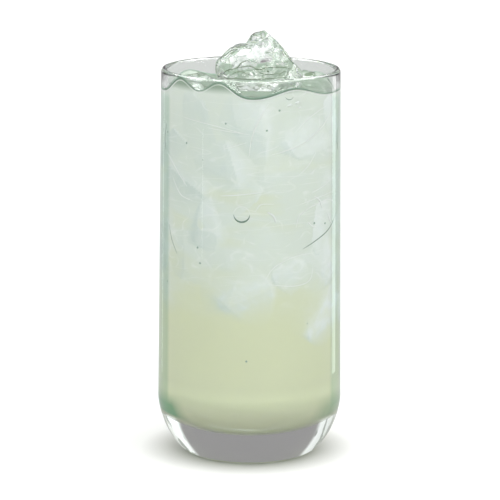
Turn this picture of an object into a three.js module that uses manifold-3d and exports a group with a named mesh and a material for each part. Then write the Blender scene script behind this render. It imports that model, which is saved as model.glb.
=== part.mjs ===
// A tall tumbler of cloudy lemonade, filled nearly to the brim over clear, broken ice
// Millimetres, +Z up, with the origin at the centre of the foot that the glass stands on
import * as THREE from 'three';
import { mergeVertices } from 'three/addons/utils/BufferGeometryUtils.js';
import Module from 'manifold-3d';

const wasm = await Module();
wasm.setup();

// Tumbler: a heavy foot that rounds up into a wall drawn in slightly towards the rim
const glassHeight = 153;
const rimRadius = 35;
const bodyRadius = 36.3; // the widest place, just above the rounded foot
const bodyBottom = 22; // where the wall starts to turn in to the foot
const footRadius = 24; // the flat face that it stands on
const footRoundness = 1.6; // 1 is a straight chamfer, 2 an ellipse
const wallThickness = 2.4;
const floorThickness = 12.3; // at the axis, the thinnest place of the foot
const bowlDepth = 15.8; // height over which the inner wall rounds down into the floor

// Drink
const drinkLevel = 144.8;
const fitGap = 0.3; // kept between pieces that touch
const bedGap = 0.5; // kept round the ice, in the bed that it leaves in the drink

// Fineness of the round pieces
const roundSegments = 64; // a multiple of four, so the box stays centred on the axis
const footSteps = 9;
const rimSteps = 6;
const bowlSteps = 10;
const ringPoints = 16; // points round each level of the tall lump

// The tall lump of ice, by height: its reach to each side as seen from the front, then its depth
const peakLevels = [
  { z: 131.0, left: -3.0, right: 9.0, front: -12.0, back: 2.0 },
  { z: 134.5, left: -9.5, right: 14.5, front: -15.5, back: 6.0 },
  { z: 142.0, left: -11.5, right: 18.6, front: -17.0, back: 8.0 },
  { z: 149.5, left: -13.2, right: 20.8, front: -16.0, back: 7.0 },
  { z: 152.8, left: -14.1, right: 19.3, front: -14.8, back: 6.6 },
  { z: 155.8, left: -13.9, right: 16.8, front: -13.6, back: 5.8 },
  { z: 158.2, left: -11.2, right: 15.0, front: -12.8, back: 4.6 },
  { z: 161.0, left: -8.4, right: 12.8, front: -11.6, back: 3.6 },
  { z: 162.5, left: -5.6, right: 11.4, front: -10.8, back: 2.4 },
  { z: 162.9, left: -1.4, right: 10.9, front: -9.8, back: 0.6 },
  { z: 166.5, left: -0.7, right: 7.4, front: -8.0, back: -1.2 },
  { z: 167.2, left: 2.4, right: 6.7, front: -7.0, back: -3.0 },
  { z: 168.3, left: 4.5, right: 5.7, front: -6.2, back: -4.6 },
];
const peakCrag = 0.14; // how far its faces are broken in and out, as a share of its depth
const peakSeed = 29;

// Low lumps that only just break the surface, each a seeded rock of flat faces against the wall
const lowLumps = [
  { name: 'ice_left', at: [-23.5, -12.5, 142.6], size: [9.6, 12.4, 8.9], turn: 30, seed: 3 },
  { name: 'ice_front', at: [-10.2, -26.0, 143.0], size: [8.2, 6.8, 8.8], turn: 14, seed: 21 },
  { name: 'ice_right', at: [15.2, -26.0, 142.2], size: [10.8, 6.6, 7.4], turn: 27, seed: 8 },
  { name: 'ice_back_left', at: [-21.5, 15.5, 141.6], size: [9.5, 8.2, 7.4], turn: -30, seed: 5 },
  { name: 'ice_back_right', at: [21.6, 16.6, 142.0], size: [8.4, 7.0, 7.8], turn: 42, seed: 14 },
];
const lumpFaces = 13;
const lumpDetail = 3; // how finely a lump's surface is divided
const lumpSharpness = 30; // how crisp the edges between its flat faces are
const deepestFace = 0.66; // a face cuts in to between this share of the radius and all of it

// Materials
const glassMaterial = new THREE.MeshStandardMaterial({
  color: '#e6efe9', roughness: 0.05, metalness: 0, transparent: true, opacity: 0.35,
});
const lemonadeMaterial = new THREE.MeshStandardMaterial({ color: '#cfd8bb', roughness: 0.15, metalness: 0 });
const iceMaterial = new THREE.MeshStandardMaterial({
  color: '#e3eae5', roughness: 0.1, metalness: 0, transparent: true, opacity: 0.6,
});

// A repeatable stream of numbers from 0 to 1
function seededRandom(seed) {
  let state = seed;
  return () => {
    state = (state * 16807) % 2147483647;
    return state / 2147483647;
  };
}

// The wall's outer radius at a height above the rounded foot
function wallRadius(z) {
  const share = (z - bodyBottom) / (glassHeight - bodyBottom);
  return THREE.MathUtils.lerp(bodyRadius, rimRadius, share);
}

// The rounded foot, from the face that it stands on up to the wall
function footCurve() {
  const points = [];
  for (let i = 0; i <= footSteps; i++) {
    const angle = (i / footSteps) * Math.PI / 2;
    const out = Math.sin(angle) ** (2 / footRoundness);
    const up = 1 - Math.cos(angle) ** (2 / footRoundness);
    points.push(new THREE.Vector2(THREE.MathUtils.lerp(footRadius, bodyRadius, out), bodyBottom * up));
  }
  return points;
}

// The rim, a half round as wide as the wall is thick
function rimCurve() {
  const round = wallThickness / 2;
  const points = [];
  for (let i = 0; i <= rimSteps; i++) {
    const angle = (i / rimSteps) * Math.PI;
    const reach = rimRadius - round + round * Math.cos(angle);
    points.push(new THREE.Vector2(reach, glassHeight - round + round * Math.sin(angle)));
  }
  return points;
}

// The inner wall from a height down into the bowl of the floor, drawn in by a gap for what fits inside
function cavityCurve(top, gap) {
  const floor = floorThickness + gap;
  const bowlTop = floorThickness + bowlDepth;
  const bowlReach = wallRadius(bowlTop) - wallThickness - gap;
  const points = [new THREE.Vector2(wallRadius(top) - wallThickness - gap, top)];
  for (let i = 0; i < bowlSteps; i++) {
    const angle = (i / bowlSteps) * Math.PI / 2;
    const z = THREE.MathUtils.lerp(bowlTop, floor, Math.sin(angle));
    points.push(new THREE.Vector2(bowlReach * Math.cos(angle), z));
  }
  points.push(new THREE.Vector2(0, floor));
  return points;
}

// A closed profile turned about the axis
function turned(profile) {
  const geometry = new THREE.LatheGeometry(profile, roundSegments);
  geometry.rotateX(Math.PI / 2);
  return geometry;
}

function tumblerGeometry() {
  const rim = rimCurve();
  const inside = cavityCurve(rim.at(-1).y, 0).slice(1);
  return turned([new THREE.Vector2(0, 0), ...footCurve(), ...rim, ...inside]);
}

// Vertices shared, with nothing left but their places
function mergedGeometry(geometry) {
  const bare = geometry.clone();
  bare.deleteAttribute('normal');
  bare.deleteAttribute('uv');
  return mergeVertices(bare, 1e-4);
}

function toSolid(geometry) {
  const merged = mergedGeometry(geometry);
  return new wasm.Manifold(new wasm.Mesh({
    numProp: 3,
    vertProperties: new Float32Array(merged.attributes.position.array),
    triVerts: new Uint32Array(merged.index.array),
  }));
}

function fromSolid(solid) {
  const mesh = solid.getMesh();
  const geometry = new THREE.BufferGeometry();
  geometry.setAttribute('position', new THREE.BufferAttribute(mesh.vertProperties, mesh.numProp));
  geometry.setIndex(new THREE.BufferAttribute(mesh.triVerts, 1));
  geometry.computeVertexNormals();
  return geometry;
}

// A lump swollen by a gap all round, to cut its bed in the drink
function grown(geometry, gap) {
  const merged = mergedGeometry(geometry);
  merged.computeVertexNormals();
  const { position, normal } = merged.attributes;
  const point = new THREE.Vector3();
  const outward = new THREE.Vector3();
  for (let i = 0; i < position.count; i++) {
    outward.fromBufferAttribute(normal, i);
    point.fromBufferAttribute(position, i).addScaledVector(outward, gap);
    position.setXYZ(i, point.x, point.y, point.z);
  }
  return merged;
}

// The drink fills the cavity up to its level, with a bed cut for each lump that stands out
function lemonadeGeometry(lumps) {
  const profile = [...cavityCurve(drinkLevel, fitGap).reverse(), new THREE.Vector2(0, drinkLevel)];
  let drink = toSolid(turned(profile));
  for (const lump of lumps) drink = drink.subtract(toSolid(grown(lump, bedGap)));
  return fromSolid(drink);
}

// The tall lump: an uneven ring of points at each level, each turned half a step from the last
function peakGeometry() {
  const random = seededRandom(peakSeed);
  const positions = [];
  peakLevels.forEach((level, row) => {
    const middle = new THREE.Vector2(level.left + level.right, level.front + level.back).multiplyScalar(0.5);
    const half = new THREE.Vector2(level.right - level.left, level.back - level.front).multiplyScalar(0.5);
    for (let i = 0; i < ringPoints; i++) {
      const angle = ((i + (row % 2) / 2) / ringPoints) * Math.PI * 2;
      const crag = THREE.MathUtils.lerp(-peakCrag, peakCrag, random()) * Math.sin(angle) ** 2;
      const reach = half.clone().multiplyScalar(1 + crag);
      positions.push(
        middle.x + Math.cos(angle) * reach.x,
        middle.y + Math.sin(angle) * reach.y,
        level.z + crag * half.y * 0.5,
      );
    }
  });
  return ringsToGeometry(positions, peakLevels.length);
}

// Closes a pile of rings with a fan at each end
function ringsToGeometry(positions, ringCount) {
  const indices = [];
  for (let ring = 0; ring < ringCount - 1; ring++) {
    for (let i = 0; i < ringPoints; i++) {
      const next = (i + 1) % ringPoints;
      const low = ring * ringPoints;
      const high = low + ringPoints;
      indices.push(low + i, low + next, high + next, low + i, high + next, high + i);
    }
  }
  for (let i = 1; i < ringPoints - 1; i++) {
    const top = (ringCount - 1) * ringPoints;
    indices.push(0, i + 1, i, top, top + i, top + i + 1);
  }
  const geometry = new THREE.BufferGeometry();
  geometry.setAttribute('position', new THREE.Float32BufferAttribute(positions, 3));
  geometry.setIndex(indices);
  geometry.computeVertexNormals();
  return geometry;
}

// A seeded rock: a ball flattened by faces that look in random directions
function lumpGeometry({ at, size, turn, seed }) {
  const random = seededRandom(seed);
  const faces = [];
  for (let i = 0; i < lumpFaces; i++) {
    const facing = new THREE.Vector3().setFromSphericalCoords(
      1, Math.acos(2 * random() - 1), random() * Math.PI * 2,
    );
    faces.push({ facing, reach: THREE.MathUtils.lerp(deepestFace, 1, random()) });
  }
  const geometry = mergedGeometry(new THREE.IcosahedronGeometry(1, lumpDetail));
  const { position } = geometry.attributes;
  const point = new THREE.Vector3();
  for (let i = 0; i < position.count; i++) {
    point.fromBufferAttribute(position, i).normalize();
    let pull = 1;
    for (const { facing, reach } of faces) {
      pull += Math.max(0, facing.dot(point) / reach) ** lumpSharpness;
    }
    point.multiplyScalar(pull ** (-1 / lumpSharpness));
    position.setXYZ(i, point.x, point.y, point.z);
  }
  geometry.scale(...size);
  geometry.rotateZ(THREE.MathUtils.degToRad(turn));
  geometry.translate(...at);
  geometry.computeVertexNormals();
  return geometry;
}

function named(name, geometry, material) {
  const mesh = new THREE.Mesh(geometry, material);
  mesh.name = name;
  return mesh;
}

const insideWall = toSolid(turned([
  ...cavityCurve(glassHeight, fitGap).reverse(),
  new THREE.Vector2(0, glassHeight),
]));

const ice = [named('ice_peak', peakGeometry(), iceMaterial)];
for (const lump of lowLumps) {
  const pressed = insideWall.intersect(toSolid(lumpGeometry(lump)));
  ice.push(named(lump.name, fromSolid(pressed), iceMaterial));
}

const drinkGeometry = lemonadeGeometry(ice.map((lump) => lump.geometry));

const lemonadeInGlass = new THREE.Group();
lemonadeInGlass.name = 'lemonade_in_glass';
lemonadeInGlass.add(named('glass', tumblerGeometry(), glassMaterial));
lemonadeInGlass.add(named('lemonade', drinkGeometry, lemonadeMaterial));
lemonadeInGlass.add(...ice);

export default lemonadeInGlass;
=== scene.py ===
import math
import random

import bmesh
import bpy
from mathutils import Matrix, Vector, noise
from mathutils.bvhtree import BVHTree


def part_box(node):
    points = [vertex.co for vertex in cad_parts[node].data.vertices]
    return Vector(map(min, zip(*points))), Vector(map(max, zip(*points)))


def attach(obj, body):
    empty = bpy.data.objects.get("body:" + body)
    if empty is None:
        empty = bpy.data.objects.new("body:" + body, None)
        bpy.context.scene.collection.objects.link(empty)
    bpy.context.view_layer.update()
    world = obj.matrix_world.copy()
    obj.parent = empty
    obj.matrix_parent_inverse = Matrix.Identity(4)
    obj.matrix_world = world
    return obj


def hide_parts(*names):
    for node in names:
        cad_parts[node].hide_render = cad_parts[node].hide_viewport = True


mm = 0.001

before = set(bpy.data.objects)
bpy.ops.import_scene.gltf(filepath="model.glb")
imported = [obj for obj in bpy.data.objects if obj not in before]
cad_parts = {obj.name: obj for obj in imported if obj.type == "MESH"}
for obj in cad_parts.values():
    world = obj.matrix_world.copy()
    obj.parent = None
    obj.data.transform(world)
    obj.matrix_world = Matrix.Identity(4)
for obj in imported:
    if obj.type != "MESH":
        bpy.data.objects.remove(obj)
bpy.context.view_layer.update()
print("frame loaded:", ", ".join(sorted(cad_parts)))

glassLow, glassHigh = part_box("glass")
drinkLow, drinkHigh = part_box("lemonade")

# The tumbler: its height and widest place come from the frame, the rest are its own sizes
glass = {
    "height": glassHigh[2],
    "bodyRadius": glassHigh[0],
    "rimRadius": 35.0 * mm,
    "bodyBottom": 22.0 * mm,
    "footRadius": 24.0 * mm,
    "footRoundness": 1.6,
    "wall": 2.4 * mm,
    "lipOuter": 1.6 * mm,       # height over which the rim rounds off outside
    "lipInner": 1.2 * mm,
    "floor": 12.3 * mm,         # at the axis
    "bowlDepth": 15.8 * mm,     # height over which the inner wall rounds down into the floor
    "segments": 192,
    "tint": (0.90, 0.93, 0.91),
    "footTint": (0.95, 0.95, 0.95),         # below the drink
    "paintedEdgeShade": (0.46, 0.63, 0.55),         # painted darker green where the upright wall is seen along its surface: partly the glass's own green over a long way through it, partly painted shade
    "edgeStart": 0.54,                      # how far it turns from facing before that shows
    "edgeFull": 0.60,
    "edgeTop": (146 * mm, 143 * mm),        # it shows where drink is behind the wall
    "paintedCornerShade": (0.13, 0.42, 0.27),       # painted dark teal shade at the sides, along the drink's lowest edge
    "cornerStart": 0.33,
    "cornerFull": 0.5,
    "cornerRise": (17.0 * mm, 18.5 * mm),
    "cornerFall": (27.0 * mm, 22.0 * mm),
    "cornerSide": (20.0 * mm, -20.0 * mm),  # the painted shade grows from a weak share on the right, where the light comes from, to full on the left
    "cornerWeakest": 0.55,
    "depthTint": (0.02, 0.89, 0.69),        # what a long way through the wall does to white light
    "depthDensity": 1.0,
    "waveSize": 9 * mm,
    "waveStretch": (1, 1, 0.12),
    "waveDepth": 0.2 * mm,
}


def wallRadius(z):
    share = (z - glass["bodyBottom"]) / (glass["height"] - glass["bodyBottom"])
    return glass["bodyRadius"] + (glass["rimRadius"] - glass["bodyRadius"]) * share


def innerRadius(z):
    return wallRadius(z) - glass["wall"]


def footCurve(steps=28):
    points = []
    for i in range(steps + 1):
        angle = i / steps * math.pi / 2
        out = math.sin(angle) ** (2 / glass["footRoundness"])
        up = 1 - max(0.0, math.cos(angle)) ** (2 / glass["footRoundness"])
        radius = glass["footRadius"] + (glass["bodyRadius"] - glass["footRadius"]) * out
        points.append((radius, glass["bodyBottom"] * up))
    return points


def rimCurve(steps=20):
    half = glass["wall"] / 2
    middle = glass["rimRadius"] - half
    points = []
    for i in range(steps + 1):
        angle = i / steps * math.pi
        fall = glass["lipOuter"] if i < steps / 2 else glass["lipInner"]
        points.append((middle + half * math.cos(angle), glass["height"] - fall * (1 - math.sin(angle))))
    return points


# The inner wall from a height down into the bowl of the floor, drawn in by a gap for what fits inside
def cavityCurve(top, gap, wallSteps=24, bowlSteps=40):
    floor = glass["floor"] + gap
    bowlTop = glass["floor"] + glass["bowlDepth"]
    bowlReach = innerRadius(bowlTop) - gap
    points = []
    for i in range(wallSteps):
        z = top + (bowlTop - top) * i / wallSteps
        points.append((innerRadius(z) - gap, z))
    for i in range(bowlSteps):
        angle = i / bowlSteps * math.pi / 2
        points.append((bowlReach * math.cos(angle), bowlTop + (floor - bowlTop) * math.sin(angle)))
    points.append((0.0, floor))
    return points


def newObject(name, mesh):
    obj = bpy.data.objects.new(name, mesh)
    bpy.context.scene.collection.objects.link(obj)
    return obj


def turned(name, profile, segments):
    mesh = bpy.data.meshes.new(name)
    form = bmesh.new()
    rings = []
    for radius, z in profile:
        if radius < 1e-7:
            rings.append([form.verts.new((0, 0, z))])
            continue
        ring = []
        for i in range(segments):
            angle = i / segments * 2 * math.pi
            ring.append(form.verts.new((radius * math.cos(angle), radius * math.sin(angle), z)))
        rings.append(ring)
    for low, high in zip(rings, rings[1:]):
        for i in range(segments):
            j = (i + 1) % segments
            if len(low) == 1:
                form.faces.new((low[0], high[j], high[i]))
            elif len(high) == 1:
                form.faces.new((low[i], low[j], high[0]))
            else:
                form.faces.new((low[i], low[j], high[j], high[i]))
    bmesh.ops.recalc_face_normals(form, faces=form.faces)
    form.to_mesh(mesh)
    form.free()
    mesh.polygons.foreach_set("use_smooth", [True] * len(mesh.polygons))
    return newObject(name, mesh)


def bakedMesh(obj):
    bpy.context.view_layer.update()
    graph = bpy.context.evaluated_depsgraph_get()
    mesh = bpy.data.meshes.new_from_object(obj.evaluated_get(graph))
    obj.modifiers.clear()
    obj.data = mesh
    return mesh


# Runs a Geometry Nodes tree on an object and keeps the mesh that it makes
def applyTree(obj, tree, keys, settings):
    modifier = obj.modifiers.new(tree.name, "NODES")
    modifier.node_group = tree
    for label, value in settings.items():
        modifier[keys[label]] = value
    return bakedMesh(obj)


# What rays and nearest places are found on
def joinedTree(objects):
    verts, faces = [], []
    for obj in objects:
        start = len(verts)
        verts += [vert.co.copy() for vert in obj.data.vertices]
        faces += [[start + index for index in face.vertices] for face in obj.data.polygons]
    return BVHTree.FromPolygons(verts, faces)


# Each input of a node takes a plain value, or the output that feeds it
def fill(tree, node, inputs):
    for key, value in inputs.items():
        socket = node.inputs[key]
        if isinstance(value, bpy.types.NodeSocket):
            tree.links.new(value, socket)
        elif socket.type == "RGBA":
            socket.default_value = (*value, 1)
        else:
            socket.default_value = value


def addNode(tree, kind, inputs=None, **settings):
    node = tree.nodes.new(kind)
    for key, value in settings.items():
        setattr(node, key, value)
    fill(tree, node, inputs or {})
    return node


def calc(tree, operation, first, second=0.0):
    return addNode(tree, "ShaderNodeMath", {0: first, 1: second}, operation=operation).outputs[0]


def product(tree, first, *others):
    for other in others:
        first = calc(tree, "MULTIPLY", first, other)
    return first


# Goes from low to high while the value goes from start to end
def ramp(tree, value, start, end, low=0.0, high=1.0, easing="LINEAR"):
    inputs = {"Value": value, "From Min": start, "From Max": end, "To Min": low, "To Max": high}
    return addNode(tree, "ShaderNodeMapRange", inputs, interpolation_type=easing).outputs[0]


def blend(tree, share, first, second):
    return addNode(tree, "ShaderNodeMix", {0: share, 6: first, 7: second}, data_type="RGBA").outputs[2]


def objectPlace(tree):
    place = addNode(tree, "ShaderNodeTexCoord")
    return addNode(tree, "ShaderNodeSeparateXYZ", {0: place.outputs["Object"]}).outputs


def ownAttribute(tree, name):
    return addNode(tree, "ShaderNodeAttribute", attribute_name=name).outputs["Fac"]


# A node group with one output; gives its tree, what is passed in, and the identifier of each input
def newGroup(name, kind, inputs, output):
    tree = bpy.data.node_groups.new(name, kind)
    keys = {}
    for label, socket in inputs.items():
        made = tree.interface.new_socket(label, in_out="INPUT", socket_type="NodeSocket" + socket)
        keys[label] = made.identifier
    tree.interface.new_socket("Result", in_out="OUTPUT", socket_type="NodeSocket" + output)
    return tree, addNode(tree, "NodeGroupInput").outputs, keys


def closeGroup(tree, result):
    addNode(tree, "NodeGroupOutput", {0: result})
    return tree


def closePainted(tree, geometry, material):
    real = addNode(tree, "GeometryNodeRealizeInstances", {0: geometry})
    painted = addNode(tree, "GeometryNodeSetMaterial", {"Geometry": real.outputs[0], "Material": material})
    return closeGroup(tree, painted.outputs[0])


def stretchedNoise(tree, given, detail):
    place = addNode(tree, "ShaderNodeTexCoord")
    stretched = addNode(tree, "ShaderNodeVectorMath", {0: place.outputs["Object"], 1: given["Stretch"]},
                        operation="MULTIPLY")
    inputs = {"Vector": stretched.outputs[0], "Scale": given["Scale"], "Detail": detail}
    return addNode(tree, "ShaderNodeTexNoise", inputs).outputs["Fac"]


# Soft uneven waves, shared by glass, ice and drink
def softWavesGroup():
    inputs = {"Scale": "Float", "Stretch": "Vector", "Detail": "Float"}
    tree, given, _ = newGroup("softWaves", "ShaderNodeTree", inputs, "Float")
    return closeGroup(tree, stretchedNoise(tree, given, given["Detail"]))


# Thin broken lines where flat faces of ice meet, painted as highlights
def fineCreasesGroup():
    inputs = {"Scale": "Float", "Stretch": "Vector", "Thinness": "Float"}
    tree, given, _ = newGroup("fineCreases", "ShaderNodeTree", inputs, "Float")
    fromMiddle = calc(tree, "ABSOLUTE", calc(tree, "SUBTRACT", stretchedNoise(tree, given, 1.0), 0.5))
    line = ramp(tree, fromMiddle, 0.0, given["Thinness"], 1.0, 0.0)
    shown = ramp(tree, stretchedNoise(tree, given, 2.0), 0.48, 0.62)
    return closeGroup(tree, product(tree, line, shown))


softWaves = softWavesGroup()
fineCreases = fineCreasesGroup()


def addWaves(tree, size, stretch=(1, 1, 1), detail=2.0):
    inputs = {"Scale": 1 / size, "Stretch": stretch, "Detail": detail}
    return addNode(tree, "ShaderNodeGroup", inputs, node_tree=softWaves).outputs[0]


def addCreases(tree, size, stretch, thinness):
    inputs = {"Scale": 1 / size, "Stretch": stretch, "Thinness": thinness}
    return addNode(tree, "ShaderNodeGroup", inputs, node_tree=fineCreases).outputs[0]


def addBump(tree, shader, height, strength, distance):
    bump = addNode(tree, "ShaderNodeBump", {"Strength": strength, "Distance": distance, "Height": height})
    fill(tree, shader, {"Normal": bump.outputs["Normal"]})


def newMaterial(name):
    material = bpy.data.materials.new(name)
    material.use_nodes = True
    tree = material.node_tree
    return material, tree, tree.nodes["Principled BSDF"]


def clearGlass():
    material, tree, shader = newMaterial("sodaGlass")
    facing = addNode(tree, "ShaderNodeLayerWeight", {"Blend": 0.5}).outputs["Facing"]
    place = objectPlace(tree)
    upright = ramp(tree, place["Z"], 0.8 * glass["bodyBottom"], glass["bodyBottom"])
    color = blend(tree, upright, glass["footTint"], glass["tint"])
    # Painted shade along the upright wall's edges, where it is seen along its surface
    edge = product(tree, ramp(tree, facing, glass["edgeStart"], glass["edgeFull"]), upright,
                   ramp(tree, place["Z"], *glass["edgeTop"]))
    color = blend(tree, edge, color, glass["paintedEdgeShade"])
    # Painted dark teal shade at the lower corners, strongest on the left, away from the light
    cornerShade = product(tree, ramp(tree, facing, glass["cornerStart"], glass["cornerFull"]),
                     ramp(tree, place["Z"], *glass["cornerRise"]),
                     ramp(tree, place["Z"], *glass["cornerFall"]),
                     ramp(tree, place["X"], *glass["cornerSide"], glass["cornerWeakest"]))
    color = blend(tree, cornerShade, color, glass["paintedCornerShade"])
    fill(tree, shader, {"Base Color": color, "Roughness": 0.0, "IOR": 1.5, "Transmission Weight": 1.0})
    absorb = addNode(tree, "ShaderNodeVolumeAbsorption",
                     {"Color": glass["depthTint"], "Density": glass["depthDensity"]})
    fill(tree, tree.nodes["Material Output"], {"Volume": absorb.outputs["Volume"]})
    addBump(tree, shader, addWaves(tree, glass["waveSize"], glass["waveStretch"]), 0.12, glass["waveDepth"])
    return material


cloud = {
    "paintedBottomLight": (0.93, 0.97, 0.7),          # painted lighter along the bottom, to make up for the little light that comes there
    "lowFrom": 32 * mm,
    "lowTo": 20 * mm,
    "deepColor": (0.76, 0.785, 0.58),       # low in the glass, where no ice is
    "highColor": (0.78, 0.825, 0.765),      # between the ice
    "bandShare": 0.5,                       # how far the low colour comes back in bands between the ice
    "bandLow": 114 * mm,                    # they fade from here
    "bandHigh": 126 * mm,                   # to here
    "paintedIceShade": (0.63, 0.705, 0.67),         # painted shade on faces of ice close behind the wall that turn from the light
    "paintedIceLight": (0.91, 0.94, 0.925),       # and painted light on faces turned to it
    "paintedTopShade": (0.33, 0.42, 0.33),         # painted darker, shade and dull reflection on the open surface and the thin film that climbs the wall
    "underIceColor": (0.93, 0.96, 0.94),    # where the tall lump goes down into it
    "paintedFoldShade": (0.16, 0.23, 0.13),     # painted shade in dark folds there
    "crumpleSize": 1.8 * mm,
    # white painted highlight along creases in the sunk ice
    "paintedCreaseHighlight": (1.0, 1.0, 1.0),
    "creaseSize": 15 * mm,
    "creaseThinness": 0.022,
    "sheetSize": 16 * mm,                   # long level lines of painted highlight, as thin sheets of ice show
    "sheetStretch": (0.5, 0.5, 3.0),
    "sheetThinness": 0.016,
    "mixLow": 55 * mm,                      # the ice takes over from the clear low part between these
    "mixHigh": 87 * mm,
    "mixUneven": 26 * mm,                   # up and down over this height
    "mixSize": 16 * mm,
    "bandSize": 22 * mm,
    "bandStretch": (0.6, 0.6, 2.2),
    "filmLow": 147.0 * mm,
    "filmHigh": 149.5 * mm,
    "waveSize": 5 * mm,
    "waveDepth": 0.3 * mm,
}


def liquidColor(tree, height, iceRise):
    # Painted light near the bottom, where little light comes
    low = ramp(tree, height, cloud["lowFrom"], cloud["lowTo"])
    deep = blend(tree, low, cloud["deepColor"], cloud["paintedBottomLight"])
    bands = ramp(tree, addWaves(tree, cloud["bandSize"], cloud["bandStretch"]), 0.46, 0.62)
    bandShare = ramp(tree, height, cloud["bandHigh"], cloud["bandLow"], 0.0, cloud["bandShare"])
    unbanded = calc(tree, "SUBTRACT", 1.0, product(tree, bands, bandShare))
    return blend(tree, product(tree, iceRise, unbanded), deep, cloud["highColor"])


def sunkIceColor(tree, liquid, iceRise):
    # Painted light and shade on the sunk ice, by how its faces turn to one side
    tone = blend(tree, ownAttribute(tree, "iceLight"), cloud["paintedIceShade"], cloud["paintedIceLight"])
    iced = blend(tree, ownAttribute(tree, "iceShow"), liquid, tone)
    # Painted highlight lines along creases and thin sheets of the ice
    creases = addCreases(tree, cloud["creaseSize"], (1, 1, 1.6), cloud["creaseThinness"])
    sheets = addCreases(tree, cloud["sheetSize"], cloud["sheetStretch"], cloud["sheetThinness"])
    lines = product(tree, calc(tree, "MAXIMUM", creases, sheets), iceRise)
    return blend(tree, lines, iced, cloud["paintedCreaseHighlight"])


# The open surface's painted shade, and painted dark folds where the tall lump goes into it
def surfaceColor(tree):
    folds = ramp(tree, addWaves(tree, cloud["crumpleSize"]), 0.52, 0.56)
    crumpled = blend(tree, folds, cloud["underIceColor"], cloud["paintedFoldShade"])
    return blend(tree, ownAttribute(tree, "underIce"), cloud["paintedTopShade"], crumpled)


def cloudyDrink():
    material, tree, shader = newMaterial("cloudyLemonade")
    height = objectPlace(tree)["Z"]
    waves = product(tree, addWaves(tree, cloud["mixSize"], (1, 1, 1.4), 3.0), cloud["mixUneven"])
    uneven = calc(tree, "ADD", waves, height)
    middle = cloud["mixUneven"] / 2
    iceRise = ramp(tree, uneven, cloud["mixLow"] + middle, cloud["mixHigh"] + middle, easing="SMOOTHSTEP")
    inside = sunkIceColor(tree, liquidColor(tree, height, iceRise), iceRise)
    # Painted shade over the open surface and the film near the rim
    film = ramp(tree, height, cloud["filmLow"], cloud["filmHigh"])
    outside = calc(tree, "MAXIMUM", film, ownAttribute(tree, "openTop"))
    color = blend(tree, outside, inside, surfaceColor(tree))
    fill(tree, shader, {"Base Color": color, "Roughness": 0.1, "IOR": 1.33, "Subsurface Weight": 0.3,
                        "Subsurface Radius": (1.0, 1.0, 0.8), "Subsurface Scale": 0.001})
    addBump(tree, shader, addWaves(tree, cloud["waveSize"]), 0.15, cloud["waveDepth"])
    return material


ice = {
    "tint": (0.95, 0.97, 0.96),
    "paintedEdgeShade": (0.2, 0.27, 0.22),  # painted shade where a lump's surface turns from view
    "edgeStart": 0.62,
    "edgeFull": 0.88,
    "waveSize": 4 * mm,
    "waveDepth": 0.5 * mm,
    "voxel": 0.5 * mm,
    "facetArea": 16 * mm ** 2,      # how large the flat faces that it melts into are
    "softest": 0.4,                 # crease of the roundest and crispest edges between them
    "crispest": 0.9,
    "seed": 4,
    "dent": 0.34 * mm,
    "dentSize": 2.4 * mm,
}


def clearIce():
    material, tree, shader = newMaterial("wetIce")
    facing = addNode(tree, "ShaderNodeLayerWeight", {"Blend": 0.5}).outputs["Facing"]
    # Painted shade darkens the lump where its surface turns from view
    color = blend(tree, ramp(tree, facing, ice["edgeStart"], ice["edgeFull"]), ice["tint"], ice["paintedEdgeShade"])
    fill(tree, shader, {"Base Color": color, "Roughness": 0.02, "IOR": 1.31, "Transmission Weight": 1.0})
    addBump(tree, shader, addWaves(tree, ice["waveSize"], detail=3.0), 0.5, ice["waveDepth"])
    return material


# A slightly uneven colour, for thin lines and bubbles
unevenColor = {"darkest": 0.88, "size": 3 * mm}


def plainFinish(name, color, roughness):
    material, tree, shader = newMaterial(name)
    darker = tuple(unevenColor["darkest"] * value for value in color)
    tone = blend(tree, addWaves(tree, unevenColor["size"]), darker, color)
    fill(tree, shader, {"Base Color": tone, "Roughness": roughness})
    return material


glassMaterial = clearGlass()
drinkMaterial = cloudyDrink()
iceMaterial = clearIce()


def finished(piece, material, slot, *nodes):
    piece.data.materials.clear()
    piece.data.materials.append(material)
    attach(piece, "root")
    if nodes:
        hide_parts(*nodes)


# Ice that stands out of the drink, melted smooth from its solid
iceNodes = sorted(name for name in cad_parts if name.startswith("ice_"))


def meltedCopy(name, node):
    piece = newObject(name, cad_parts[node].data.copy())
    form = bmesh.new()
    form.from_mesh(piece.data)
    bmesh.ops.remove_doubles(form, verts=form.verts, dist=0.01 * mm)
    form.to_mesh(piece.data)
    form.free()
    remesh = piece.modifiers.new("even", "REMESH")
    remesh.mode = "VOXEL"
    remesh.voxel_size = ice["voxel"]
    mesh = bakedMesh(piece)
    area = sum(face.area for face in mesh.polygons)
    fewer = piece.modifiers.new("fewer", "DECIMATE")
    fewer.ratio = area / ice["facetArea"] / (2 * len(mesh.polygons))
    mesh = bakedMesh(piece)
    draw = random.Random(ice["seed"])
    crease = mesh.attributes.new("crease_edge", "FLOAT", "EDGE")
    for edge in crease.data:
        edge.value = draw.uniform(ice["softest"], ice["crispest"])
    fine = piece.modifiers.new("fine", "SUBSURF")
    fine.levels = 3
    mesh = bakedMesh(piece)
    form = bmesh.new()
    form.from_mesh(mesh)
    for vert in form.verts:
        vert.co += vert.normal * ice["dent"] * noise.noise(vert.co / ice["dentSize"])
    form.to_mesh(mesh)
    form.free()
    mesh.polygons.foreach_set("use_smooth", [True] * len(mesh.polygons))
    return piece


icePieces = {}
for node in iceNodes:
    icePieces[node] = meltedCopy(node.replace("ice_", "clearIce_"), node)
    finished(icePieces[node], iceMaterial, "ice", node)
print("standing ice:", len(icePieces))

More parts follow.
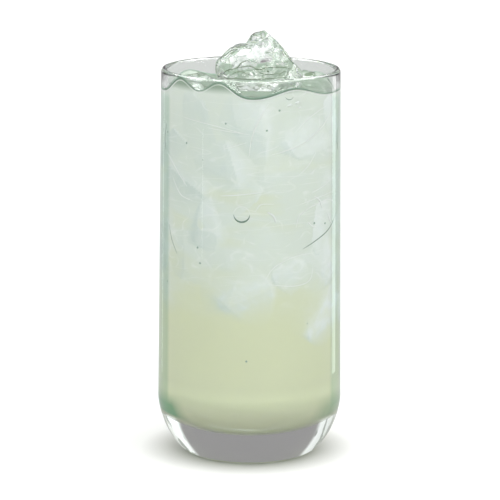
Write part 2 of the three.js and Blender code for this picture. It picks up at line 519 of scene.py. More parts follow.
# The white frosted heart of the tall lump
frost = {
    "color": (0.97, 0.99, 0.98),
    "middle": (-0.2 * mm, -6.0 * mm, 158.3 * mm),
    "half": (8.0 * mm, 3.2 * mm, 3.2 * mm),
    "lean": 33,             # degrees, up to the right
    "crumple": 1.6 * mm,
    "crumpleSize": 3.5 * mm,
    "skin": 0.6 * mm,       # clear ice left outside it
    "solidFrom": 0.44,      # noise below this leaves it clear
    "solidTo": 0.52,
}


def frostedWhite():
    material, tree, shader = newMaterial("frostedWhite")
    waves = addWaves(tree, frost["crumpleSize"], detail=3.0)
    solid = ramp(tree, waves, frost["solidFrom"], frost["solidTo"])
    fill(tree, shader, {"Base Color": frost["color"], "Alpha": solid, "Roughness": 0.6})
    return material


def makeFrost(lump):
    mesh = bpy.data.meshes.new("frostHeart")
    form = bmesh.new()
    bmesh.ops.create_icosphere(form, subdivisions=5, radius=1.0)
    lean = Matrix.Rotation(math.radians(-frost["lean"]), 3, "Y")
    lumpTree = joinedTree([lump])
    for vert in form.verts:
        way = vert.co.copy()
        place = Vector([way[n] * frost["half"][n] for n in range(3)])
        place += way * frost["crumple"] * noise.fractal(place / frost["crumpleSize"], 0.6, 2.2, 4)
        place = Vector(frost["middle"]) + lean @ place
        near, outward, _, _ = lumpTree.find_nearest(place)
        if (place - near).dot(outward) > -frost["skin"]:
            place = near - outward * frost["skin"]
        vert.co = place
    bmesh.ops.recalc_face_normals(form, faces=form.faces)
    form.to_mesh(mesh)
    form.free()
    mesh.polygons.foreach_set("use_smooth", [True] * len(mesh.polygons))
    finished(newObject("frostHeart", mesh), frostedWhite(), "ice")


makeFrost(icePieces["ice_peak"])

# Sunk ice: flat-faced lumps close behind the wall, seen through a thin layer of drink
sunkIce = {
    "kinds": 7,
    "corners": 12,
    "softness": 0.6,
    "flatten": 0.6,         # a lump's depth into the drink, as a share of its size
    "seed": 12,
    "shown": [(-41, 95 * mm, 14 * mm), (-64, 79 * mm, 11 * mm),
              (-20, 134 * mm, 13 * mm)],     # angle, height and size of those that show well
    "paintedLightSide": (0.75, -0.25, 0.6),          # flat faces turned this way are painted brightest, as if lit from here
    "zoneLow": 66 * mm,
    "zoneTilt": 6 * mm,     # the ice reaches lower on the right
    "zoneHigh": 138 * mm,
    "smallest": 13 * mm,
    "largest": 19 * mm,
    "poke": 0.2,            # share of its size by which a lump presses against the wall, at most
    "deepest": 0.04,        # and by which it may lie behind it
    "tries": 900,
    "packing": 0.48,
    "haze": 3.0 * mm,       # drink this thick hides most of a lump
    "crumple": 1.3 * mm,    # unevenness of that film
    "crumpleSize": 5 * mm,
    "lookFrom": 3 * mm,     # lumps are looked for from this far outside the wall
    "lookDepth": 15 * mm,
}


def lumpPlaces():
    draw = random.Random(sunkIce["seed"])
    places = []
    wanted = [(math.radians(angle), z, size, sunkIce["poke"]) for angle, z, size in sunkIce["shown"]]
    for _ in range(sunkIce["tries"]):
        angle = draw.uniform(-math.pi, math.pi)
        lowest = sunkIce["zoneLow"] - sunkIce["zoneTilt"] * math.cos(angle + math.radians(60))
        wanted.append((angle, draw.uniform(lowest, sunkIce["zoneHigh"]),
                       draw.uniform(sunkIce["smallest"], sunkIce["largest"]),
                       draw.uniform(-sunkIce["deepest"], sunkIce["poke"])))
    for angle, z, size, press in wanted:
        distance = innerRadius(z) - size * (sunkIce["flatten"] * 0.85 - press)
        place = Vector((distance * math.cos(angle), distance * math.sin(angle), z))
        free = [(place - other).length > sunkIce["packing"] * (size + near) for other, near in places]
        if all(free):
            places.append((place, size))
    return places


# A lump is the hull of random points on a ball, with its edges a little softened
def rockForm(tree, given, seed):
    direction = addNode(tree, "FunctionNodeRandomValue", {0: (-1, -1, -1), 1: (1, 1, 1), "Seed": seed},
                        data_type="FLOAT_VECTOR")
    unit = addNode(tree, "ShaderNodeVectorMath", {0: direction.outputs[0]}, operation="NORMALIZE")
    corners = addNode(tree, "GeometryNodePoints", {"Count": given["Corners"], "Position": unit.outputs[0]})
    hull = addNode(tree, "GeometryNodeConvexHull", {0: corners.outputs[0]})
    soft = addNode(tree, "GeometryNodeSubdivisionSurface",
                   {"Mesh": hull.outputs[0], "Level": 2, "Edge Crease": given["Softness"]})
    return soft.outputs[0]


def rockTree(material):
    inputs = {"Places": "Geometry", "Corners": "Int", "Seed": "Int", "Softness": "Float", "Flatten": "Float"}
    tree, given, keys = newGroup("rockScatter", "GeometryNodeTree", inputs, "Geometry")
    kinds = addNode(tree, "GeometryNodeGeometryToInstance")
    for k in range(sunkIce["kinds"]):
        fill(tree, kinds, {0: rockForm(tree, given, 10 + k)})
    pick = addNode(tree, "FunctionNodeRandomValue",
                   {"Min": 0, "Max": sunkIce["kinds"] - 1, "Seed": given["Seed"]}, data_type="INT")
    roll = addNode(tree, "FunctionNodeRandomValue",
                   {0: (0, 0, 0), 1: (math.tau, 0, 0), "Seed": given["Seed"]}, data_type="FLOAT_VECTOR")
    turn = addNode(tree, "FunctionNodeEulerToRotation", {0: roll.outputs[0]})
    outward = addNode(tree, "GeometryNodeInputNamedAttribute", {"Name": "outward"}, data_type="FLOAT_VECTOR")
    align = addNode(tree, "FunctionNodeAlignRotationToVector", {"Vector": outward.outputs["Attribute"]},
                    axis="X")
    rolled = addNode(tree, "FunctionNodeRotateRotation", {0: align.outputs[0], 1: turn.outputs[0]},
                     rotation_space="LOCAL")
    size = addNode(tree, "GeometryNodeInputNamedAttribute", {"Name": "size"}, data_type="FLOAT")
    shape = addNode(tree, "ShaderNodeCombineXYZ", {"X": given["Flatten"], "Y": 1.0, "Z": 1.0})
    scaled = addNode(tree, "ShaderNodeVectorMath", {0: shape.outputs[0], "Scale": size.outputs["Attribute"]},
                     operation="SCALE")
    inputs = {"Points": given["Places"], "Instance": kinds.outputs[0], "Pick Instance": True,
              "Instance Index": pick.outputs["Value"], "Rotation": rolled.outputs[0],
              "Scale": scaled.outputs[0]}
    scatter = addNode(tree, "GeometryNodeInstanceOnPoints", inputs)
    return closePainted(tree, scatter.outputs[0], material), keys


def makeSunkIce():
    places = lumpPlaces()
    mesh = bpy.data.meshes.new("sunkIce")
    mesh.from_pydata([place for place, _ in places], [], [])
    sizes = mesh.attributes.new("size", "FLOAT", "POINT")
    outward = mesh.attributes.new("outward", "FLOAT_VECTOR", "POINT")
    for i, (place, size) in enumerate(places):
        sizes.data[i].value = size
        outward.data[i].vector = Vector((place.x, place.y, 0)).normalized()
    rocks = newObject("sunkIce", mesh)
    tree, keys = rockTree(iceMaterial)
    applyTree(rocks, tree, keys, {"Corners": sunkIce["corners"], "Seed": sunkIce["seed"],
                                  "Softness": sunkIce["softness"], "Flatten": sunkIce["flatten"]})
    print("sunk ice:", len(places), "lumps,", len(rocks.data.polygons), "faces")
    return rocks


# The drink, up to its wavy surface
drink = {
    "level": drinkHigh[2],
    "reachIntoWall": 0.12 * mm,
    "segments": 384,
    "wallRows": 190,
    "surfaceRings": 48,
    "wallMeniscus": 0.6 * mm,
    "meniscusWidth": 1.6 * mm,
    "filmWidth": 3.0 * mm,
    "iceMeniscus": 1.2 * mm,
    "ripple": 0.25 * mm,
    "rippleSize": 6 * mm,
    "iceFade": 4.0 * mm,        # how far in from its sides a lump looks palest
    "blend": 12 * mm,           # the wall's top rows rise with the edge over this height
}
# Where lumps against the wall lift the drink's edge: angle in degrees, rise and half width along the wall
edgeSwells = [
    {"angle": -111, "rise": 6.0 * mm, "width": 5.0 * mm},
    {"angle": -142, "rise": 6.2 * mm, "width": 5.4 * mm},
    {"angle": -60, "rise": 3.6 * mm, "width": 7.5 * mm},
    {"angle": 35, "rise": 3.0 * mm, "width": 8.0 * mm},
    {"angle": 140, "rise": 3.4 * mm, "width": 7.0 * mm},
]


def edgeRise(angle):
    rise = drink["wallMeniscus"]
    for swell in edgeSwells:
        apart = (angle - math.radians(swell["angle"]) + math.pi) % math.tau - math.pi
        rise += swell["rise"] * math.exp(-0.5 * (apart * glass["rimRadius"] / swell["width"]) ** 2)
    return rise


def surfaceHeight(x, y, edge, iceTree):
    fromWall = max(0.0, edge - math.hypot(x, y))
    rise = edgeRise(math.atan2(y, x)) * math.exp(-(fromWall / drink["filmWidth"]) ** 2)
    _, _, _, toIce = iceTree.find_nearest(Vector((x, y, drink["level"])))
    climb = math.exp(-toIce / drink["meniscusWidth"]) * min(1.0, fromWall / drink["filmWidth"])
    rise += drink["iceMeniscus"] * climb
    rise += drink["ripple"] * noise.noise(Vector((x, y, 0)) / drink["rippleSize"])
    return drink["level"] + rise


# How much of the sunk ice shows through the drink at a place on its wall, and how much painted light it gets
# there from the way its face turns
def iceBehind(place, rocks):
    inward = Vector((-place.x, -place.y, 0)).normalized()
    start = place - inward * sunkIce["lookFrom"]
    hit, outward, _, distance = rocks.ray_cast(start, inward, sunkIce["lookDepth"])
    depth = sunkIce["lookDepth"] if hit is None else max(0.0, distance - sunkIce["lookFrom"])
    depth += sunkIce["crumple"] * (0.5 + noise.fractal(place / sunkIce["crumpleSize"], 0.6, 2.2, 4))
    turned = 0.0 if hit is None else outward.dot(Vector(sunkIce["paintedLightSide"]).normalized())
    return math.exp(-max(0.0, depth) / sunkIce["haze"]), 0.5 + 0.5 * turned


def makeDrink(standingIce, rocks):
    profile = cavityCurve(drink["level"], -drink["reachIntoWall"], wallSteps=drink["wallRows"])
    edge = profile[0][0]
    rings = [(edge * i / drink["surfaceRings"], drink["level"]) for i in range(drink["surfaceRings"])]
    body = turned("cloudyLemonade", list(reversed(profile)) + list(reversed(rings)), drink["segments"])
    names = ("iceShow", "iceLight", "openTop", "underIce")
    for name in names:
        body.data.attributes.new(name, "FLOAT", "POINT")
    shown = {name: body.data.attributes[name].data for name in names}
    for vert in body.data.vertices:
        x, y, z = vert.co
        radius = math.hypot(x, y)
        if z > drink["level"] - 1e-6:
            vert.co.z = surfaceHeight(x, y, edge, standingIce)
            shown["openTop"][vert.index].value = min(1.0, (edge - radius) / mm)
            near, outward, _, distance = standingIce.find_nearest(vert.co)
            if (vert.co - near).dot(outward) < 0:
                shown["underIce"][vert.index].value = min(1.0, distance / drink["iceFade"])
        elif radius > edge * 0.95:
            show, light = iceBehind(vert.co, rocks)
            shown["iceShow"][vert.index].value = show
            shown["iceLight"][vert.index].value = light
            share = max(0.0, (z - drink["level"] + drink["blend"]) / drink["blend"])
            vert.co.z += share * edgeRise(math.atan2(y, x))
    return body


rocks = makeSunkIce()
lemonade = makeDrink(joinedTree(icePieces.values()), joinedTree([rocks]))
finished(lemonade, drinkMaterial, "lemonade", "lemonade")
bpy.data.objects.remove(rocks)
print("drink:", len(lemonade.data.polygons), "faces")

# Thin things against the wall, drawn as painted shade and painted highlight: creases in the ice, the line
# along the drink's edge, rings of bubbles
tubing = {"into": 0.08 * mm, "sides": 6, "spacing": 0.35 * mm}
# Each path runs through places given as angle in degrees and height in mm
creaseHighlights = [
    {"path": [(-78, 144), (-83, 139), (-88, 133), (-90, 128), (-91, 123)], "half": 0.26 * mm},
    {"path": [(-16, 142), (-25, 138), (-38, 132.5), (-52, 128), (-66, 125.5), (-77, 124)], "half": 0.30 * mm},
    {"path": [(-30, 141), (-42, 139), (-52, 136), (-60, 132)], "half": 0.2 * mm},
    {"path": [(-42, 124), (-49, 119), (-57, 115.5)], "half": 0.18 * mm},
    {"path": [(-160, 122), (-152, 119), (-143, 114.5), (-135, 110)], "half": 0.3 * mm},
    {"path": [(-151, 113), (-144, 108), (-139, 106), (-130, 105)], "half": 0.24 * mm},
    {"path": [(-110, 108), (-97, 108.7), (-81, 110)], "half": 0.24 * mm},
    {"path": [(-141, 137), (-115, 135), (-92, 132)], "half": 0.18 * mm},
    {"path": [(-120, 134), (-104, 133), (-90, 132)], "half": 0.16 * mm},
    {"path": [(-108, 126), (-92, 129)], "half": 0.16 * mm},
    {"path": [(-80, 75.5), (-74, 80.5), (-60, 84), (-44, 84.5)], "half": 0.2 * mm},
    {"path": [(-79, 74), (-60, 72.5), (-48, 74), (-45, 79.5)], "half": 0.18 * mm},
    {"path": [(-59, 95), (-56, 100), (-44, 103), (-28, 104), (-15, 100)], "half": 0.24 * mm},
    {"path": [(-57, 104), (-38, 106), (-15, 107)], "half": 0.18 * mm},
    {"path": [(-16, 114), (-34, 110), (-47, 108)], "half": 0.2 * mm},
    {"path": [(-87, 102), (-83, 105), (-74, 105)], "half": 0.16 * mm},
    {"path": [(-79, 102), (-75, 100.5), (-73, 97.5)], "half": 0.5 * mm},
    {"path": [(-66, 142.4), (-62, 143.2)], "half": 0.45 * mm},
    {"path": [(-60, 143.4), (-56, 143.8)], "half": 0.55 * mm},
    {"path": [(-58, 141.4), (-55, 141.9)], "half": 0.35 * mm},
    {"path": [(-44, 106.5), (-39, 104.5), (-36, 101)], "half": 0.4 * mm},
    {"path": [(-50, 97), (-46, 95), (-42, 94.6)], "half": 0.4 * mm},
    {"path": [(-30, 99), (-27, 95.5), (-24, 94)], "half": 0.45 * mm},
    {"path": [(40, 120), (62, 112), (80, 108)], "half": 0.26 * mm},
    {"path": [(110, 131), (125, 124), (131, 113)], "half": 0.26 * mm},
    {"path": [(92, 90), (112, 96), (130, 92)], "half": 0.24 * mm},
    {"path": [(10, 96), (22, 88), (38, 86)], "half": 0.24 * mm},
]
creaseShades = [
    {"path": [(-16, 98), (-28, 92.5), (-43, 89), (-54, 86.5)], "half": 0.22 * mm},
    {"path": [(-155, 94), (-151, 88), (-144, 82.5)], "half": 0.15 * mm},
    {"path": [(-14, 131), (-15, 126), (-13, 122)], "half": 0.3 * mm},
    {"path": [(-161, 122), (-163, 127), (-160, 133)], "half": 0.22 * mm},
    {"path": [(50, 105), (61, 100), (79, 88)], "half": 0.2 * mm},
    {"path": [(140, 104), (150, 98), (154, 90)], "half": 0.2 * mm},
]


def wallPoint(angle, z):
    radius = innerRadius(z) + tubing["into"]
    return Vector((radius * math.cos(angle), radius * math.sin(angle), z))


# Catmull-Rom through pairs of numbers
def smoothPath(places, steps=14):
    places = [places[0]] + places + [places[-1]]
    line = []
    for k in range(1, len(places) - 2):
        for i in range(steps + (k == len(places) - 3)):
            t = i / steps
            a, b, c, d = places[k - 1:k + 3]
            here = [0.5 * (2 * b[n] + (c[n] - a[n]) * t + (2 * a[n] - 5 * b[n] + 4 * c[n] - d[n]) * t ** 2
                           + (3 * b[n] - a[n] - 3 * c[n] + d[n]) * t ** 3) for n in (0, 1)]
            line.append(here)
    return line


# Thin at both ends
def taper(i, last):
    return 0.12 + 0.88 * math.sin(math.pi * i / last) ** 0.7


def creaseLine(path, half):
    line = smoothPath([(math.radians(angle), z * mm) for angle, z in path])
    return [(wallPoint(*here), half * taper(i, len(line) - 1)) for i, here in enumerate(line)]


# Round tubes along paths, each as thick along its way as its halfWidth says
def tubeTree(material):
    inputs = {"Paths": "Geometry", "Sides": "Int", "Spacing": "Float"}
    tree, given, keys = newGroup("tubes", "GeometryNodeTree", inputs, "Geometry")
    curve = addNode(tree, "GeometryNodeMeshToCurve", {0: given["Paths"]})
    even = addNode(tree, "GeometryNodeResampleCurve",
                   {"Curve": curve.outputs[0], "Length": given["Spacing"]}, mode="LENGTH")
    half = addNode(tree, "GeometryNodeInputNamedAttribute", {"Name": "halfWidth"}, data_type="FLOAT")
    ring = addNode(tree, "GeometryNodeCurvePrimitiveCircle", {"Radius": 1.0, "Resolution": given["Sides"]})
    tube = addNode(tree, "GeometryNodeCurveToMesh",
                   {"Curve": even.outputs[0], "Profile Curve": ring.outputs[0],
                    "Scale": half.outputs["Attribute"], "Fill Caps": True})
    return closePainted(tree, tube.outputs[0], material), keys


def makeTubes(name, lines, material, slot):
    verts, edges, widths = [], [], []
    for line, closed in lines:
        start = len(verts)
        verts += [place for place, _ in line]
        widths += [half for _, half in line]
        edges += [(start + i, start + i + 1) for i in range(len(line) - 1)]
        if closed:
            edges.append((len(verts) - 1, start))
    mesh = bpy.data.meshes.new(name)
    mesh.from_pydata(verts, edges, [])
    half = mesh.attributes.new("halfWidth", "FLOAT", "POINT")
    half.data.foreach_set("value", widths)
    piece = newObject(name, mesh)
    tree, keys = tubeTree(material)
    mesh = applyTree(piece, tree, keys, {"Sides": tubing["sides"], "Spacing": tubing["spacing"]})
    mesh.polygons.foreach_set("use_smooth", [True] * len(mesh.polygons))
    finished(piece, material, slot)
    print(name + ":", len(lines), "lines,", len(mesh.polygons), "faces")
    return piece


# The painted dark line where the drink meets the wall, shade standing in for its meniscus, and the painted
# pale highlight close under it
shoreLine = {
    "half": 0.36 * mm,
    "more": 0.16 * mm,
    "sway": 0.7,
    "steps": 360,
    "paleBelow": 0.75 * mm,
    "paleShare": 0.6,
}


def edgeLine(below, share):
    line = []
    for i in range(shoreLine["steps"]):
        angle = i / shoreLine["steps"] * math.tau
        z = drink["level"] + edgeRise(angle) - below
        half = shoreLine["half"] + shoreLine["more"] * math.sin(shoreLine["sway"] * 6 * angle)
        line.append((wallPoint(angle, z), max(0.08 * mm, half * share)))
    return line


# Bubbles against the wall, drawn as rings: painted shade, dark and thick below, and painted highlight, thin
# and pale above
ringBubbles = [
    {"angle": -95.5, "height": 101.2 * mm, "radius": 3.0 * mm, "half": 0.34 * mm},
    {"angle": -64, "height": 146.6 * mm, "radius": 1.7 * mm, "half": 0.16 * mm},
    {"angle": 72, "height": 118 * mm, "radius": 2.2 * mm, "half": 0.26 * mm},
]


def bubbleRing(bubble, below, steps=40):
    line = []
    for i in range(steps):
        turn = i / steps * math.tau
        weight = max(0.0, -math.sin(turn) if below else math.sin(turn))
        angle = math.radians(bubble["angle"])
        angle += bubble["radius"] * math.cos(turn) / innerRadius(bubble["height"])
        place = wallPoint(angle, bubble["height"] + bubble["radius"] * math.sin(turn))
        line.append((place, bubble["half"] * (0.1 + (0.9 if below else 0.4) * weight ** 0.8)))
    return line


# Dark lines are painted shade, pale lines and beads are painted highlight
paintedShadeLineMaterial = plainFinish("paintedDarkLines", (0.2, 0.31, 0.23), 0.25)
paintedHighlightMaterial = plainFinish("paintedHighlightLines", (0.97, 0.99, 0.97), 0.3)
paintedBubbleMaterial = plainFinish("paintedBubbleShade", (0.38, 0.5, 0.42), 0.2)
darkLines = [(edgeLine(0, 1), True)] + [(bubbleRing(bubble, True), True) for bubble in ringBubbles]
darkLines += [(creaseLine(**crease), False) for crease in creaseShades]
paleLines = [(edgeLine(shoreLine["paleBelow"], shoreLine["paleShare"]), True)]
paleLines += [(creaseLine(**crease), False) for crease in creaseHighlights]
paleLines += [(bubbleRing(bubble, False), True) for bubble in ringBubbles]
makeTubes("darkWallLines", darkLines, paintedShadeLineMaterial, "lemonade")
makeTubes("paintedIceHighlights", paleLines, paintedHighlightMaterial, "ice")

# Painted shade in dark folds on the standing ice: x and z in mm as seen from the front, on an upright plane
# before the axis
paintedIceFolds = {
    "color": (0.13, 0.19, 0.11),
    "seenFrom": (0, -1.1, 0.308),
    "plane": -8 * mm,
    "sunk": 0.06 * mm,      # middle of a fold under the surface
    "paths": [
        {"path": [(-11.3, 150.9), (-9.2, 152.9), (-5.4, 153.9), (-3.6, 155.9), (-0.2, 157.2)],
         "half": 0.26 * mm},
        {"path": [(-5.4, 153.9), (-0.6, 154.6), (2.9, 153.3), (5.5, 154.0), (6.3, 155.5)], "half": 0.28 * mm},
        {"path": [(5.5, 154.0), (8.9, 154.2), (12.3, 154.3), (15.8, 153.4), (17.9, 151.2)],
         "half": 0.22 * mm},
        {"path": [(11.4, 162.5), (13.1, 159.9), (14.9, 157.3), (18.4, 153.4)], "half": 0.24 * mm},
        {"path": [(-12.2, 150.2), (-7.8, 149.8), (0.3, 149.5), (8.1, 149.9), (18.0, 150.6)],
         "half": 0.22 * mm},
        {"path": [(-3.6, 159.3), (-3.0, 161.3), (-0.6, 161.5), (0.3, 160.9), (-1.0, 159.2)],
         "half": 0.16 * mm},
        {"path": [(-0.4, 163.8), (0.2, 166.0), (1.1, 166.4), (3.2, 166.6)], "half": 0.24 * mm},
        {"path": [(3.8, 167.0), (4.0, 166.2), (3.8, 165.4)], "half": 0.34 * mm},
        {"path": [(6.4, 153.1), (6.9, 152.2)], "half": 0.4 * mm},
        {"path": [(-13.2, 156.0), (-10.6, 158.2), (-8.0, 160.3), (-5.0, 161.9), (-1.5, 162.3)],
         "half": 0.2 * mm},
        {"path": [(-13.6, 153.4), (-13.3, 151.9), (-12.3, 150.3)], "half": 0.2 * mm},
        {"path": [(-31.6, 150.8), (-27.4, 151.7), (-22.8, 151.2), (-18.5, 152.3), (-12.3, 150.3)],
         "half": 0.2 * mm},
        {"path": [(-28.9, 149.4), (-23.5, 149.9), (-17.7, 149.4), (-13.5, 149.1)], "half": 0.18 * mm},
        {"path": [(-7.5, 151.2), (-5.2, 152.4), (-2.2, 152.0), (0.4, 150.8)], "half": 0.2 * mm},
        {"path": [(0.8, 154.4), (3.4, 152.2), (7.2, 151.4), (12.0, 152.2)], "half": 0.2 * mm},
        {"path": [(10.5, 151.0), (13.0, 152.6), (15.4, 151.4)], "half": 0.2 * mm},
    ],
    # Pale beads on the standing ice: painted glints
    "glints": [
        {"path": [(-0.4, 151.9), (0.8, 151.0)], "half": 0.5 * mm},
        {"path": [(1.6, 151.9), (2.6, 151.3)], "half": 0.4 * mm},
        {"path": [(9.6, 155.6), (10.8, 155.2)], "half": 0.4 * mm},
        {"path": [(11.8, 156.6), (12.6, 156.0)], "half": 0.4 * mm},
        {"path": [(-10.8, 151.2), (-9.4, 150.4), (-8.4, 151.4)], "half": 0.3 * mm},
        {"path": [(16.4, 155.4), (17.6, 154.0)], "half": 0.36 * mm},
    ],
}


def foldLine(path, half, tree):
    eye = Vector(paintedIceFolds["seenFrom"])
    line = []
    for x, z in smoothPath([(x * mm, z * mm) for x, z in path]):
        near, outward, _, _ = tree.ray_cast(eye, Vector((x, paintedIceFolds["plane"], z)) - eye)
        if near is not None:
            line.append(near - outward * paintedIceFolds["sunk"])
    return [(place, half * taper(i, len(line) - 1)) for i, place in enumerate(line)]


paintedFoldMaterial = plainFinish("paintedFoldLines", paintedIceFolds["color"], 0.3)
standing = joinedTree([*icePieces.values(), lemonade])
foldLines = [(foldLine(**fold, tree=standing), False) for fold in paintedIceFolds["paths"]]
glintLines = [(foldLine(**glint, tree=standing), False) for glint in paintedIceFolds["glints"]]
makeTubes("paintedIceFolds", foldLines, paintedFoldMaterial, "ice")
makeTubes("paintedIceGlints", glintLines, paintedHighlightMaterial, "ice")

# Tiny bubbles that cling to the wall, drawn as small grey-green balls: painted shade for how a bubble looks
tinyBubbles = {
    "shown": [(-136, 127), (-158, 129.5), (-71, 141), (-126, 87), (-124, 81), (-44, 96), (-33, 95),
              (-92, 43.7)],
    "shownSize": 0.42 * mm,
    "fineness": 2,
    "strewn": 16,
    "seed": 5,
    "low": 40 * mm,
    "high": 142 * mm,
    "smallest": 0.2 * mm,
    "largest": 0.45 * mm,
}


def bubbleTree(material):
    inputs = {"Places": "Geometry", "Fineness": "Int"}
    tree, given, keys = newGroup("bubbleScatter", "GeometryNodeTree", inputs, "Geometry")
    ball = addNode(tree, "GeometryNodeMeshIcoSphere", {"Radius": 1.0, "Subdivisions": given["Fineness"]})
    size = addNode(tree, "GeometryNodeInputNamedAttribute", {"Name": "size"}, data_type="FLOAT")
    inputs = {"Points": given["Places"], "Instance": ball.outputs[0], "Scale": size.outputs["Attribute"]}
    scatter = addNode(tree, "GeometryNodeInstanceOnPoints", inputs)
    return closePainted(tree, scatter.outputs[0], material), keys


def makeTinyBubbles():
    draw = random.Random(tinyBubbles["seed"])
    places = [wallPoint(math.radians(angle), z * mm) for angle, z in tinyBubbles["shown"]]
    sizes = [tinyBubbles["shownSize"]] * len(places)
    for _ in range(tinyBubbles["strewn"]):
        angle = draw.uniform(-math.pi, math.pi)
        places.append(wallPoint(angle, draw.uniform(tinyBubbles["low"], tinyBubbles["high"])))
        sizes.append(draw.uniform(tinyBubbles["smallest"], tinyBubbles["largest"]))
    mesh = bpy.data.meshes.new("tinyBubbles")
    mesh.from_pydata(places, [], [])
    mesh.attributes.new("size", "FLOAT", "POINT").data.foreach_set("value", sizes)
    piece = newObject("tinyBubbles", mesh)
    tree, keys = bubbleTree(paintedBubbleMaterial)
    mesh = applyTree(piece, tree, keys, {"Fineness": tinyBubbles["fineness"]})
    mesh.polygons.foreach_set("use_smooth", [True] * len(mesh.polygons))
    finished(piece, paintedBubbleMaterial, "lemonade")
    print("tiny bubbles:", len(places))


makeTinyBubbles()

cavity = cavityCurve(glass["height"] - glass["wall"] / 2, 0.0)
tumblerProfile = [(0.0, 0.0)] + footCurve() + rimCurve() + cavity[1:]
tumbler = turned("tumbler", tumblerProfile, glass["segments"])
finished(tumbler, glassMaterial, "glass", "glass")

# Floor, light and camera
studio = {
    "floorHalf": 4.0,
    "floorDrop": 0.05 * mm,
    "floorColor": (0.58, 0.58, 0.58),
    "floorSeenColor": (1.0, 1.0, 1.0),      # where the camera sees it straight, as white as a cut-out
    "floorShade": (0.5, 0.5, 0.5),          # and close under the foot
    "shadeReach": 14 * mm,
    "domeLow": (1.52, 1.52, 1.52),
    "domeHigh": (1.76, 1.76, 1.76),
    "patchColor": (0.22, 0.24, 0.22),       # dark places in the room, for contrast in ice and foot
    "patchSize": 0.14,
    "patchStretch": (1, 1, 0.35),
    "patchFrom": 0.56,
    "patchTo": 0.60,
    "patchShare": 0.8,
    "leftShare": 0.84,
    "rightShare": 1.22,
    "frontShare": 1.15,
    "behindShare": 0.7,
    "backColor": (0.325, 0.302, 0.312),
    "backRise": 10,             # degrees: middle of the dark place behind
    "backInner": 38,            # degrees from its middle, where it starts to fade
    "backOuter": 44,
    "haloTurns": (-120, -72, -24, 24, 72, 120),     # a ring of lamps above the rim that shows in gloss alone
    "haloHeight": 50,           # degrees above the floor
    "haloDistance": 1.2,
    "haloSize": (1.0, 0.6),
    "haloRadiance": 7.0,
    "cards": {
        "leftCard": {"turn": 132.3, "distance": 0.144, "width": 0.004, "low": 0.0, "high": 0.13,
                     "radiance": 1.3},
        "rightCard": {"turn": -121.0, "distance": 0.149, "width": 0.027, "low": 0.0, "high": 0.15,
                      "radiance": 1.6},
        "thinCard": {"turn": 55.7, "distance": 0.152, "width": 0.003, "low": 0.06, "high": 0.12,
                     "radiance": 1.5},
    },
}


def makeFloor():
    mesh = bpy.data.meshes.new("paleFloor")
    half, z = studio["floorHalf"], -studio["floorDrop"]
    corners = [(-half, -half, z), (half, -half, z), (half, half, z), (-half, half, z)]
    mesh.from_pydata(corners, [], [(0, 1, 2, 3)])
    floor = newObject("paleFloor", mesh)
    material, tree, shader = newMaterial("paleFloor")
    free = addNode(tree, "ShaderNodeAmbientOcclusion", {"Distance": studio["shadeReach"]}).outputs["AO"]
    seen = addNode(tree, "ShaderNodeLightPath").outputs["Is Camera Ray"]
    shaded = blend(tree, free, studio["floorShade"], studio["floorSeenColor"])
    color = blend(tree, seen, studio["floorColor"], shaded)
    fill(tree, shader, {"Base Color": color, "Roughness": 0.9, "Specular IOR Level": 0.0})
    mesh.materials.append(material)


# One big soft dome, brighter above, in front and to the right, with a darker back wall
def makeDome():
    world = bpy.data.worlds.new("studio")
    bpy.context.scene.world = world
    world.use_nodes = True
    tree = world.node_tree
    way = addNode(tree, "ShaderNodeTexCoord").outputs["Generated"]
    place = addNode(tree, "ShaderNodeSeparateXYZ", {0: way}).outputs
    dome = blend(tree, ramp(tree, place["Z"], 0.1, 0.9), studio["domeLow"], studio["domeHigh"])
    share = product(tree, ramp(tree, place["X"], -1, 1, studio["leftShare"], studio["rightShare"]),
                    ramp(tree, place["Y"], -1, 1, studio["frontShare"], studio["behindShare"]))
    lit = addNode(tree, "ShaderNodeVectorMath", {0: dome, "Scale": share}, operation="SCALE").outputs[0]
    stretched = addNode(tree, "ShaderNodeVectorMath", {0: way, 1: studio["patchStretch"]},
                        operation="MULTIPLY")
    uneven = addNode(tree, "ShaderNodeTexNoise",
                     {"Vector": stretched.outputs[0], "Scale": 1 / studio["patchSize"], "Detail": 1.0})
    patches = ramp(tree, uneven.outputs["Fac"], studio["patchFrom"], studio["patchTo"],
                   0.0, studio["patchShare"])
    patched = blend(tree, patches, lit, studio["patchColor"])
    rise = math.radians(studio["backRise"])
    toBack = addNode(tree, "ShaderNodeVectorMath", {0: way, 1: (0, math.cos(rise), math.sin(rise))},
                     operation="DOT_PRODUCT")
    back = ramp(tree, toBack.outputs["Value"], math.cos(math.radians(studio["backOuter"])),
                math.cos(math.radians(studio["backInner"])), easing="SMOOTHSTEP")
    fill(tree, tree.nodes["Background"], {"Color": blend(tree, back, patched, studio["backColor"])})


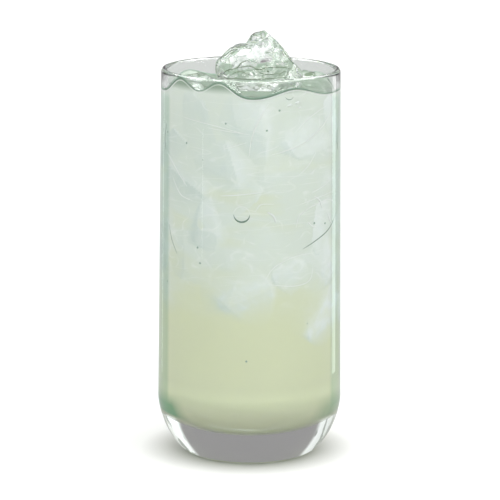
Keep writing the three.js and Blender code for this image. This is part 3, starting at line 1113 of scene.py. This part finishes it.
def makeLamp(name, place, target, width, tall, radiance):
    light = bpy.data.lights.new(name, "AREA")
    light.shape = "RECTANGLE"
    light.size = width
    light.size_y = tall
    light.energy = radiance * math.pi * width * tall
    lamp = newObject(name, light)
    aim = (target - place).to_track_quat("-Z", "Y")
    lamp.matrix_world = Matrix.Translation(place) @ aim.to_matrix().to_4x4()
    lamp.visible_camera = False
    lamp.visible_transmission = False
    return lamp


# Low bright cards close to the glass give it the pale upright lines along its sides
def makeCards():
    for name, card in studio["cards"].items():
        turn = math.radians(card["turn"])
        place = Vector((-math.sin(turn), -math.cos(turn), 0)) * card["distance"]
        place.z = (card["low"] + card["high"]) / 2
        tall = card["high"] - card["low"]
        makeLamp(name, place, Vector((0, 0, place.z)), card["width"], tall, card["radiance"])


def makeHalo():
    rise = math.radians(studio["haloHeight"])
    for i, degrees in enumerate(studio["haloTurns"]):
        turn = math.radians(degrees)
        way = Vector((-math.sin(turn) * math.cos(rise), -math.cos(turn) * math.cos(rise), math.sin(rise)))
        lamp = makeLamp("halo" + str(i), way * studio["haloDistance"], Vector((0, 0, 0)),
                        *studio["haloSize"], studio["haloRadiance"])
        lamp.visible_diffuse = False


camera = {
    "distance": 1.1,
    "height": 0.308,
    "pitch": 11.69,         # degrees, looking down
    "roll": 0.28,
    "focalPixels": 2848,    # for a picture that is framePixels wide
    "framePixels": 500,
}


def makeCamera():
    data = bpy.data.cameras.new("camera")
    data.sensor_width = 36.0
    data.lens = camera["focalPixels"] / camera["framePixels"] * data.sensor_width
    eye = bpy.data.objects.new("camera", data)
    turn = Matrix.Rotation(math.radians(90 - camera["pitch"]), 4, "X") @ Matrix.Rotation(
        math.radians(camera["roll"]), 4, "Z")
    eye.matrix_world = Matrix.Translation((0, -camera["distance"], camera["height"])) @ turn
    bpy.context.scene.collection.objects.link(eye)
    bpy.context.scene.camera = eye


makeFloor()
makeDome()
makeCards()
makeHalo()
makeCamera()
bpy.context.scene.view_settings.view_transform = "Standard"
print("studio ready")
